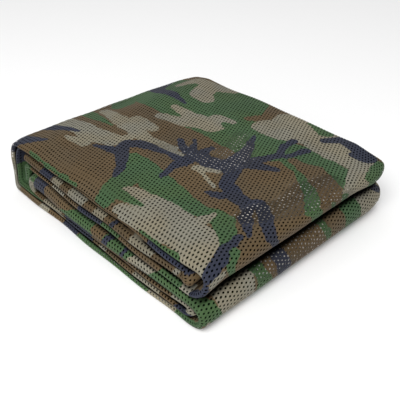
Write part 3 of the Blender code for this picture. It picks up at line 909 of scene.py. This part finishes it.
class Painter:
    """Works out the colours of every vertex of the cloth."""

    def __init__(self, cloth, places, points):
        self.row = places[:, 1]
        column = places[:, 0].round().astype(int)
        self.part = cloth.columns["part"][column]
        self.height = cloth.columns["face_z"][column]
        self.layer_middle = (cloth.columns["face_z"] + cloth.columns["back_z"])[column] / 2.0
        self.flat = places * (cloth.pitch / 2.0, cloth.row_pitch)
        self.x, self.y, self.z = points.T
        self.plan, self.side = points[:, :2], points[:, 1:]

    def fields(self):
        """The fields of the four colours, in millimetres."""
        part, x, z = self.part, self.x, self.z
        fields = paint_scattered(self.flat)
        near_front = between(-self.y, FRONT_EDGE)
        near_right = between(x, RIGHT_EDGE_X) * between(self.y, RIGHT_EDGE_Y)
        laid = []
        for layer, bands in BANDS.items():
            painted = paint_bands(x, z - self.layer_middle, bands)
            laid.append((painted, (part == RUN_NUMBERS[layer]) * near_front))
        for fold in FOLD_COLOURS:
            painted = blank(fold["low"], len(x))
            lay(painted, fold["high"], z - fold["change"])
            laid.append((painted, (part == RUN_NUMBERS[fold["layer"]] + 0.5) * near_front))
        roll = paint_patches(np.stack([x, z], axis=1), ROLL_BASE, ROLL)
        laid.append((roll, np.isin(part, (LOWER_ROLL, ROLL_FOLD)) * near_front))
        laid.append((blank(TAIL_COLOUR, len(x)), (part == LOOSE_END) * near_front))
        folds = ((UPPER_RIGHT_FOLD, UPPER_INNER, RIGHT_UPPER), (LOWER_RIGHT_FOLD, LOWER_ROLL, RIGHT_LOWER))
        for fold, run, patches in folds:
            painted = paint_patches(self.side, RIGHT_BASE, patches)
            laid.append((painted, np.maximum(part == fold, (part == run) * near_right)))
        beside = np.isin(part, (UPPER_RIGHT_FOLD, LEFT_FOLD)) * between(self.height, OVER_THE_TOP)
        laid.append((paint_patches(self.plan, TOP_BASE, TOP), np.where(part == TOP_COVER, 1.0, beside)))
        for painted, weight in laid:
            fields = blend(fields, painted, weight[:, None])
        return fields

    def close_zone(self):
        """Where the ply under the face has its colour and lies right against it, from 0 to 1."""
        near_top = np.isin(self.part, (UPPER_RIGHT_FOLD, TOP_COVER, LEFT_FOLD))
        return ease(0.5 + deepest(self.plan, CLOSE_TOP) / CLOSE_REACH) * near_top

    def pale_depth(self):
        """How far inside the parts where the ply under the face is pale and close each place lies."""
        top, right = deepest(self.plan, LIGHT_TOP), deepest(self.side, LIGHT_RIGHT)
        folds = np.isin(self.part, (UPPER_RIGHT_FOLD, LOWER_RIGHT_FOLD))
        depth = np.where(self.part == TOP_COVER, top, np.where(folds, right, FAR_OUTSIDE))
        over_edge = (self.part == UPPER_RIGHT_FOLD) & (self.height > PALE_OVER_EDGE)
        return np.where(over_edge, np.maximum(top, right), depth)

    def painted_gap_shade(self):
        """How close each vertex of the right folds lies to the painted shade of the gap between them, from 0
        to 1.
        """
        dark = np.zeros(len(self.x))
        folds = ((UPPER_RIGHT_FOLD, 1.0, GAP_SHADE_REACH_UP), (LOWER_RIGHT_FOLD, -1.0, GAP_SHADE_REACH_DOWN))
        for part, side, reach in folds:
            fold = self.part == part
            away = side * self.height[fold]
            # It is full over the nearer half of the reach and fades over the other half.
            dark[fold] = ease(2.0 * (1.0 - (away - away.min()) / reach))
        return dark * between(self.y, GAP_SHADE_Y)

    def layer_light(self):
        """How light every vertex is for the layer it lies in."""
        light = np.ones(len(self.x))
        near_front = between(-self.y, FRONT_LIGHT)
        for name, share in LAYER_LIGHT.items():
            light = blend(light, share, (self.part == RUN_NUMBERS[name]) * near_front)
        return light

    def under_face(self):
        """Which vertices lie on the ply under the strip's face."""
        return (self.row > UNDER_FACE[0]) & (self.row < UNDER_FACE[1])


NEAR = 7.0                 # millimetres within which other cloth shades a place
RAY_START = 0.06           # how far off the cloth the rays start
RAY_TILT = math.radians(55.0)
RAYS = 5                   # rays round the normal, besides the one along it


def crevices(points, normals, faces):
    """How much of the space close to every vertex is taken up by other cloth, from 0 to 1, for its painted
    shade.
    """
    tree = BVHTree.FromPolygons(points.tolist(), faces)
    helper = np.where(np.abs(normals[:, :1]) < 0.8, (1.0, 0.0, 0.0), (0.0, 1.0, 0.0))
    across = np.cross(normals, helper)
    across /= np.maximum(np.linalg.norm(across, axis=1), 1e-9)[:, None]
    along = np.cross(normals, across)
    rays = [normals]
    for turn in np.arange(RAYS) * 2.0 * math.pi / RAYS:
        sideways = math.cos(turn) * across + math.sin(turn) * along
        rays.append(math.cos(RAY_TILT) * normals + math.sin(RAY_TILT) * sideways)
    starts = (points + RAY_START * normals).tolist()
    taken = np.zeros(len(points))
    for ray in rays:
        for i, (start, way) in enumerate(zip(starts, ray.tolist())):
            distance = tree.ray_cast(start, way, NEAR)[3]
            if distance is not None:
                taken[i] += 1.0 - distance / NEAR
    return taken / len(rays)


class NetSettings(bpy.types.PropertyGroup):
    """Sizes and colours of the net."""

    pitch: FloatProperty(
        name="Hole spacing along", description="Distance between holes along the strip",
        default=0.0037, min=0.002, max=0.02, unit="LENGTH", precision=4)
    row_pitch: FloatProperty(
        name="Hole spacing across", description="Distance between rows of holes",
        default=0.00392, min=0.002, max=0.02, unit="LENGTH", precision=4)
    hole_length: FloatProperty(
        name="Hole length", description="Length of a hole along the strip",
        default=0.0019, min=0.0005, max=0.015, unit="LENGTH", precision=4)
    hole_width: FloatProperty(
        name="Hole width", description="Width of a hole across the strip",
        default=0.0024, min=0.0005, max=0.015, unit="LENGTH", precision=4)
    khaki: FloatVectorProperty(
        name="Khaki", description="Colour of the khaki patches",
        default=(0.170, 0.157, 0.118), size=3, min=0.0, max=1.0, subtype="COLOR")
    brown: FloatVectorProperty(
        name="Brown", description="Colour of the brown patches",
        default=(0.080, 0.054, 0.026), size=3, min=0.0, max=1.0, subtype="COLOR")
    green: FloatVectorProperty(
        name="Green", description="Colour of the green patches",
        default=(0.038, 0.077, 0.030), size=3, min=0.0, max=1.0, subtype="COLOR")
    navy: FloatVectorProperty(
        name="Navy", description="Colour of the navy patches",
        default=(0.018, 0.021, 0.036), size=3, min=0.0, max=1.0, subtype="COLOR")
    # The pale ply's colour is partly its own and partly painted light, standing for the light that comes
    # through the holes.
    pale: FloatVectorProperty(
        name="Pale ply", description="Colour of the pale ply seen through the holes",
        default=(0.38, 0.365, 0.35), size=3, min=0.0, max=1.0, subtype="COLOR")
    floor_colour: FloatVectorProperty(
        name="Floor", description="Colour of the floor",
        default=(0.9, 0.9, 0.9), size=3, min=0.0, max=1.0, subtype="COLOR")


class Nodes:
    """Small helpers for building a node material."""

    def __init__(self, material):
        material.use_nodes = True
        self.tree = material.node_tree
        self.shader = self.tree.nodes["Principled BSDF"]

    def add(self, kind, inputs=None, **settings):
        """A node with its settings, and its inputs set or linked."""
        node = self.tree.nodes.new(kind)
        for name, value in settings.items():
            setattr(node, name, value)
        for name, value in (inputs or {}).items():
            self.put(node.inputs[name], value)
        return node

    def put(self, socket, value):
        """Link an output to a socket, or set the socket's value."""
        if isinstance(value, bpy.types.NodeSocket):
            self.tree.links.new(value, socket)
        else:
            socket.default_value = value

    def attribute(self, name, output="Fac"):
        """A value kept at the vertices of the mesh."""
        return self.add("ShaderNodeAttribute", attribute_name=name).outputs[output]

    def axes(self, vector):
        """The parts of a vector."""
        return self.add("ShaderNodeSeparateXYZ", {0: vector}).outputs

    def math(self, operation, first, second=0.0, third=0.0):
        """The result of a math node."""
        return self.add("ShaderNodeMath", {0: first, 1: second, 2: third}, operation=operation).outputs[0]

    def product(self, first, *others):
        """Several values multiplied."""
        for other in others:
            first = self.math("MULTIPLY", first, other)
        return first

    def vector(self, operation, first, second):
        """The result of a vector math node."""
        return self.add("ShaderNodeVectorMath", {0: first, 1: second}, operation=operation).outputs[0]

    def ramp(self, value, low, high, to_low=0.0, to_high=1.0):
        """A smooth step from one value to another."""
        inputs = {"Value": value, "From Min": low, "From Max": high, "To Min": to_low, "To Max": to_high}
        return self.add("ShaderNodeMapRange", inputs, interpolation_type="SMOOTHSTEP").outputs[0]

    def blend(self, share, low, high, blend_type="MIX"):
        """Two colours mixed."""
        node = self.add("ShaderNodeMix", data_type="RGBA", blend_type=blend_type)
        for socket, value in ((node.inputs[0], share), (node.inputs[6], low), (node.inputs[7], high)):
            self.put(socket, value)
        return node.outputs[2]

    def noise(self, vector, name):
        """The outputs of a noise from the table of noises."""
        return self.add("ShaderNodeTexNoise", {"Vector": vector, **NOISES[name]}).outputs


EDGE_WOBBLE = 11.0         # millimetres that the edges between colours wander
EDGE_SOFT = 0.25           # millimetres over which they blur
WARM = (1.04, 1.0, 0.92)   # how the dye drifts from place to place
COOL = (0.97, 1.0, 1.04)
DRIFT = (0.35, 0.65)       # values of the dye's noise where it is warmest and coolest
PALE_GAPS = 0.01           # painted shade: brightness of the dark gaps strewn over the pale ply
GAPS = (0.44, 0.54)        # values of the gaps' noise where they are darkest and where they end
PALE_SHARE = 0.7           # share of the pale colour in it; the rest is the printed colour
SPOT = 0.25                # painted shade: brightness of a hole that is only drawn, where the cloth has no real ones
SPOT_EDGE = (0.8, 1.2)     # how far from its middle it begins to fade and where it ends, in half widths
SPOT_CLOSED = (0.3, 0.7)   # how closed the cloth is where such holes begin to show and where they are full
KNIT_PITCH = 0.92          # millimetres between ribs of the knit
KNIT_RELIEF = 0.25         # height of the ribs beside the noise of the relief
FURROW_SLANT = 0.5         # columns that the pulled rows move along for every row
FURROW_RELIEF = 0.5        # their height
RELIEF_DEPTH = 0.00012     # metres for one step of height
RELIEF_STRENGTH = 0.5
ROUGHEST, SMOOTHEST = 0.78, 0.62
GLOSS, SHEEN, SHEEN_ROUGHNESS = 0.2, 0.05, 0.5

NOISES = keyed(("name", "Scale", "Detail", "Roughness"), (
    ("edges", 0.1, 4.0, 0.62),
    ("dye", 0.025, 1.0, 0.5),
    ("cloud", 0.02, 2.0, 0.5),
    ("grain", 0.9, 2.0, 0.7),
    ("gaps", 0.45, 1.0, 0.5),
    ("relief", 1.4, 2.0, 0.5),
))

# How light broad clouds, fine grain, the rims of the holes and the pulled rows are at a low and a high value;
# the rims get a painted highlight, the pulled rows painted highlight and shade.
TONES = keyed(("name", "from", "to", "dark", "light"), (
    ("cloud", 0.3, 0.7, 0.92, 1.07),
    ("grain", 0.25, 0.75, 0.86, 1.14),
    ("rim", 0.35, 1.0, 1.0, 1.12),
    ("furrow", -1.0, 1.0, 0.92, 1.12),
))


def printed_colour(n, place, settings, pale):
    """The four camouflage colours with wandering edges, the pale ply, and the drift of the dye."""
    camo = n.add("ShaderNodeAttribute", attribute_name="camo").outputs
    edges = n.noise(place, "edges")
    amount = EDGE_WOBBLE / FIELD_REACH
    shifted = n.vector("SUBTRACT", edges["Color"], (0.5, 0.5, 0.5))
    shifted = n.vector("MULTIPLY", shifted, (amount, amount, amount))
    khaki, brown, green = n.axes(n.vector("ADD", camo["Vector"], shifted))
    navy = n.math("MULTIPLY_ADD", n.math("SUBTRACT", edges["Fac"], 0.5), amount, camo["Alpha"])
    soft = EDGE_SOFT / FIELD_REACH
    colour, strongest = (*settings.khaki, 1.0), khaki
    for field, tint in ((brown, settings.brown), (green, settings.green), (navy, settings.navy)):
        share = n.ramp(n.math("SUBTRACT", field, strongest), -soft, soft)
        colour = n.blend(share, colour, (*tint, 1.0))
        strongest = n.math("MAXIMUM", field, strongest)
    colour = n.blend(n.math("MULTIPLY", pale, PALE_SHARE), colour, (*settings.pale, 1.0))
    drift = n.ramp(n.noise(place, "dye")["Fac"], *DRIFT)
    return n.blend(1.0, colour, n.blend(drift, (*WARM, 1.0), (*COOL, 1.0)), "MULTIPLY")


def drawn_holes(n, cell, settings):
    """Where a hole is drawn as a dark spot of painted shade on cloth that has no real ones, from 0 to 1."""
    shift = n.math("MULTIPLY", n.math("MODULO", n.math("FLOOR", cell["Y"]), 2.0), 0.5)
    away = []
    for value, pitch, size in (
        (n.math("SUBTRACT", cell["X"], shift), settings.pitch, settings.hole_length),
        (cell["Y"], settings.row_pitch, settings.hole_width),
    ):
        offset = n.math("SUBTRACT", n.math("FRACT", value), 0.5)
        offset = n.math("MULTIPLY", offset, 2.0 * pitch / size)
        away.append(n.math("MULTIPLY", offset, offset))
    away = n.math("SQRT", n.math("ADD", *away))
    return n.product(n.ramp(away, *SPOT_EDGE, 1.0, 0.0), n.ramp(n.attribute("closed"), *SPOT_CLOSED))


def net_material(settings):
    """Printed knitted mesh: four camouflage colours over fine ribs, with pulled rows, a little sheen, and
    painted light and shade.
    """
    material = bpy.data.materials.new("net_cloth")
    n = Nodes(material)
    flat = n.attribute("flat", "Vector")
    cell = n.axes(flat)
    place = n.vector("MULTIPLY", flat, (settings.pitch / MM, settings.row_pitch / MM, 0.0))
    pale, shade = n.attribute("pale"), n.attribute("shade")

    slanting = n.math("MULTIPLY_ADD", cell["Y"], FURROW_SLANT, cell["X"])
    furrow = n.math("SINE", n.math("MULTIPLY", slanting, 2.0 * math.pi))
    values = {name: n.noise(place, name)["Fac"] for name in ("cloud", "grain")}
    values.update(rim=cell["Z"], furrow=furrow)
    tones = {name: n.ramp(values[name], *steps.values()) for name, steps in TONES.items()}
    gaps = n.ramp(n.noise(place, "gaps")["Fac"], *GAPS, PALE_GAPS, 1.0)
    holes = n.ramp(drawn_holes(n, cell, settings), 0.0, 1.0, 1.0, SPOT)
    # Painted light and shade go into the colour here: the vertices' painted shade and light, the rims'
    # painted highlight, the rows' painted highlight and shade, and the dark drawn holes.
    light = n.product(*tones.values(), shade, n.ramp(pale, 0.0, 1.0, 1.0, gaps), holes)
    bright = n.add("ShaderNodeCombineColor", {0: light, 1: light, 2: light}).outputs[0]
    colour = n.blend(1.0, printed_colour(n, place, settings, pale), bright, "MULTIPLY")

    turns = 2 * math.pi / KNIT_PITCH
    ribs = [n.math("SINE", n.math("MULTIPLY", axis, turns)) for axis in n.axes(place)[:2]]
    height = n.math("MULTIPLY_ADD", n.math("ADD", *ribs), KNIT_RELIEF, n.noise(place, "relief")["Fac"])
    height = n.math("MULTIPLY_ADD", furrow, FURROW_RELIEF, height)
    relief = {"Height": height, "Strength": RELIEF_STRENGTH, "Distance": RELIEF_DEPTH}

    # Gloss and sheen fade with the painted shade, so that painted crevices stay dark.
    grain, painted_shade_capped = TONES["grain"], n.math("MINIMUM", shade, 1.0)
    inputs = {
        "Base Color": colour,
        "Roughness": n.ramp(tones["grain"], grain["dark"], grain["light"], ROUGHEST, SMOOTHEST),
        "Normal": n.add("ShaderNodeBump", relief).outputs[0],
        "Specular IOR Level": n.math("MULTIPLY", painted_shade_capped, GLOSS),
        "Sheen Weight": n.math("MULTIPLY", painted_shade_capped, SHEEN),
        "Sheen Roughness": SHEEN_ROUGHNESS,
    }
    for name, value in inputs.items():
        n.put(n.shader.inputs[name], value)
    return material


def give_attribute(mesh, name, kind, values):
    """Store values at the vertices of a mesh."""
    attribute = mesh.attributes.new(name, kind, "POINT")
    field = {"FLOAT": "value", "FLOAT_VECTOR": "vector", "FLOAT_COLOR": "color"}[kind]
    attribute.data.foreach_set(field, np.ascontiguousarray(values, np.float32).ravel())


RIM_SINK = 0.16            # millimetres that the rim of a hole lies below the cloth round it
LIFT_REACH = 4.0           # millimetres over which the pale ply comes up against the face
PALE_REACH = 3.0           # millimetres over which it turns pale
PALE_MIDDLE = 1.25         # painted light on the pale ply where it lies against the face, about the middle, as if lit through the holes
PALE_RIGHT = 2.8           # the same toward the right folds
PALE_X = (80.0, 105.0)     # x where that begins and where it is full
PALE_FOLD = 1.0            # the same on the right folds themselves
FACE_MIDDLE = 0.74         # brightness of the face over it, about the middle
FACE_RIGHT = 0.53          # the same toward the right folds
CLOSE = 0.8                # brightness of the ply that has the face's colour, where it lies against the face
DEEPEST = 0.02             # painted shade: brightness left in the deepest crevices
DEEP = (0.06, 0.38)        # painted shade: how far crevices are filled where they begin to darken and where they are darkest
HOLE_UNEVEN = 0.09         # how much holes differ in size
HOLE_RANGE = (0.75, 1.2)   # the smallest and the largest, as shares of the stated size
HOLE_TIGHT = 0.10          # how much smaller they are where the cloth lies tight over its pale ply
HOLE_SEED = 5

# Soft swells of the whole pack: size, length and direction in degrees.
SWELLS = table(("size", "length", "turn"), (
    (0.45, 74.0, 20.0),
    (0.35, 112.0, 115.0),
    (0.3, 53.0, 70.0),
))


def swell(points, height):
    """Let the cloth swell and sink softly, more toward the top of the pack."""
    raised = points.copy()
    for row in SWELLS:
        turn = math.radians(row["turn"])
        along = math.cos(turn) * points[:, 0] + math.sin(turn) * points[:, 1]
        wave = np.sin(2.0 * math.pi / row["length"] * along + row["turn"])
        raised[:, 2] += row["size"] * wave * (points[:, 2] / height) ** 2
    return raised


def uneven_holes(places, middles, rim, tight):
    """The same places with every hole a little larger or smaller, and smaller where the cloth lies tight."""
    corners = len(RIM_ANGLES)
    sizes = np.random.default_rng(HOLE_SEED).standard_normal(len(places) // corners + 1)
    factor = (1.0 + HOLE_UNEVEN * sizes)[np.cumsum(rim).astype(int) // corners]
    factor = np.clip(factor, *HOLE_RANGE) * (1.0 - HOLE_TIGHT * tight)
    return middles + (places - middles) * factor[:, None]


def painted_light_and_shade(painter, taken, near, pale):
    """How bright every vertex is: painted shade in crevices, painted light on the pale ply, dim on the face
    over it.
    """
    toward_right = between(painter.x, PALE_X)
    on_top = painter.part == TOP_COVER
    dim = np.where(on_top, blend(FACE_MIDDLE, FACE_RIGHT, toward_right), FACE_MIDDLE)
    bright = np.where(on_top, blend(PALE_MIDDLE, PALE_RIGHT, toward_right), PALE_FOLD)
    shade = blend(blend(1.0, DEEPEST, between(taken, DEEP)), CLOSE, near)
    shade = blend(shade * blend(1.0, dim, pale * ~painter.under_face()), bright, pale * painter.under_face())
    return shade * blend(1.0, DEEPEST, painter.painted_gap_shade()) * painter.layer_light()


class NET_OT_cloth(bpy.types.Operator):
    """Make the net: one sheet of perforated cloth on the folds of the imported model"""

    bl_idname = "net.cloth"
    bl_label = "Make the net"

    def execute(self, context):
        settings = context.scene.net_settings
        box = np.array([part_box("net")[0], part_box("net")[1]]) / MM
        height = box[1, 2] - box[0, 2]
        cloth = Cloth(height, settings.pitch / MM, settings.row_pitch / MM)
        net = NetMesh(cloth, {"length": settings.hole_length / MM, "width": settings.hole_width / MM})
        places, middles, rim = np.array(net.places), np.array(net.middles), np.array(net.rim)
        points = cloth.at(middles[:, 0], middles[:, 1])
        shift = (box.sum(axis=0) - points.min(axis=0) - points.max(axis=0)) / 2.0 * (1.0, 1.0, 0.0)
        painter = Painter(cloth, middles, points + shift)
        depth, under = painter.pale_depth(), painter.under_face()
        tight, pale = ease(0.5 + depth / LIFT_REACH), ease(0.5 + depth / PALE_REACH)
        near = painter.close_zone() * under
        places = uneven_holes(places, middles, rim, tight)
        points = cloth.at(places[:, 0], places[:, 1], np.maximum(tight * under, near)) + shift
        painter = Painter(cloth, places, points)
        points = swell(points, height)

        mesh = bpy.data.meshes.new("net_sheet")
        mesh.from_pydata(points * MM, [], net.faces)
        mesh.shade_smooth()
        normals = np.empty(len(points) * 3, np.float32)
        mesh.vertex_normals.foreach_get("vector", normals)
        normals = normals.reshape(-1, 3).astype(float)
        # Painted shade in crevices and in the gap between the right folds, and painted light on the pale ply,
        # kept in the shade attribute.
        shade = painted_light_and_shade(painter, crevices(points, normals, net.faces), near, pale)
        points -= normals * (RIM_SINK * rim)[:, None]
        mesh.vertices.foreach_set("co", (points * MM).astype(np.float32).ravel())
        flat = np.stack([places[:, 0] / 2.0, places[:, 1], rim], axis=1)
        camo = np.clip(painter.fields() / FIELD_REACH, -1.0, 1.0)
        give_attribute(mesh, "camo", "FLOAT_COLOR", camo)
        give_attribute(mesh, "flat", "FLOAT_VECTOR", flat)
        give_attribute(mesh, "shade", "FLOAT", shade)
        give_attribute(mesh, "pale", "FLOAT", pale * painter.under_face())
        give_attribute(mesh, "closed", "FLOAT", np.array(net.closed))
        mesh.update()
        sheet = bpy.data.objects.new("net_sheet", mesh)
        context.scene.collection.objects.link(sheet)
        sheet.data.materials.append(net_material(settings))
        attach(sheet, "root")
        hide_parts("net")
        flat = (cloth.rows * settings.row_pitch, cloth.half_columns * settings.pitch / 2.0)
        return {"FINISHED"}


# ---- floor, light and camera
FLOOR_SIZE, FLOOR_ROUGHNESS = 6.0, 0.9
SKY_STRENGTH = 0.72
LIGHT = {"azimuth": 28.0, "elevation": 50.0, "distance": 1.6, "size": 0.9, "power": 20.0}
CAMERA = {"azimuth": 46.9, "elevation": 34.6, "distance": 0.567, "lens": 53.46, "sensor": 36.0}
CAMERA_TARGET = (0.0380, -0.0275, 0.0266)


def direction(azimuth, elevation):
    """The direction from the net to a viewer at this azimuth and elevation, in degrees."""
    a, e = math.radians(azimuth), math.radians(elevation)
    return Vector((math.sin(a) * math.cos(e), -math.cos(a) * math.cos(e), math.sin(e)))


def place_facing(name, data, stand, target=(0.0, 0.0, 0.0)):
    """Put a light or a camera where its table says, facing the target."""
    placed = bpy.data.objects.new(name, data)
    bpy.context.scene.collection.objects.link(placed)
    back = direction(stand["azimuth"], stand["elevation"])
    placed.location = Vector(target) + back * stand["distance"]
    placed.rotation_euler = back.to_track_quat("Z", "Y").to_euler()
    return placed


class NET_OT_stage(bpy.types.Operator):
    """Make the floor, the light and the camera"""

    bl_idname = "net.stage"
    bl_label = "Make the stage"

    def execute(self, context):
        settings = context.scene.net_settings
        bpy.ops.mesh.primitive_plane_add(size=FLOOR_SIZE)
        floor = context.object
        floor.name = "floor"
        material = bpy.data.materials.new("floor")
        material.use_nodes = True
        shader = material.node_tree.nodes["Principled BSDF"]
        shader.inputs["Base Color"].default_value = (*settings.floor_colour, 1.0)
        shader.inputs["Roughness"].default_value = FLOOR_ROUGHNESS
        floor.data.materials.append(material)
        floor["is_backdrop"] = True
        world = bpy.data.worlds.new("studio")
        world.use_nodes = True
        background = world.node_tree.nodes["Background"]
        background.inputs["Color"].default_value = (1.0, 1.0, 1.0, 1.0)
        background.inputs["Strength"].default_value = SKY_STRENGTH
        context.scene.world = world
        light = bpy.data.lights.new("key", "AREA")
        light.shape = "SQUARE"
        light.size = LIGHT["size"]
        light.energy = LIGHT["power"]
        place_facing("key", light, LIGHT)
        camera = bpy.data.cameras.new("camera")
        camera.sensor_width = CAMERA["sensor"]
        camera.lens = CAMERA["lens"]
        context.scene.camera = place_facing("camera", camera, CAMERA, CAMERA_TARGET)
        context.scene.view_settings.view_transform = "Standard"
        return {"FINISHED"}


class NET_PT_panel(bpy.types.Panel):
    """The net's sizes, colours and steps"""

    bl_idname = "NET_PT_panel"
    bl_label = "Camouflage Net"
    bl_space_type = "VIEW_3D"
    bl_region_type = "UI"
    bl_category = "Net"

    def draw(self, context):
        for name in NetSettings.__annotations__:
            self.layout.prop(context.scene.net_settings, name)
        for operator in (NET_OT_stage, NET_OT_cloth):
            self.layout.operator(operator.bl_idname)


CLASSES = (NetSettings, NET_OT_stage, NET_OT_cloth, NET_PT_panel)


def register():
    """Add the net's settings, steps and panel."""
    for cls in CLASSES:
        bpy.utils.register_class(cls)
    bpy.types.Scene.net_settings = PointerProperty(type=NetSettings)


def unregister():
    """Take them away again."""
    del bpy.types.Scene.net_settings
    for cls in reversed(CLASSES):
        bpy.utils.unregister_class(cls)


def corners(box):
    """The two corners of a box as plain lists."""
    return [list(map(float, corner)) for corner in box]


def main():
    """Build the net and its stage."""
    cad_box = corners(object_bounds())
    register()
    bpy.ops.net.stage()
    bpy.ops.net.cloth()
    {"cad": cad_box, "scene": corners(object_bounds())}


if __name__ == "__main__":
    main()
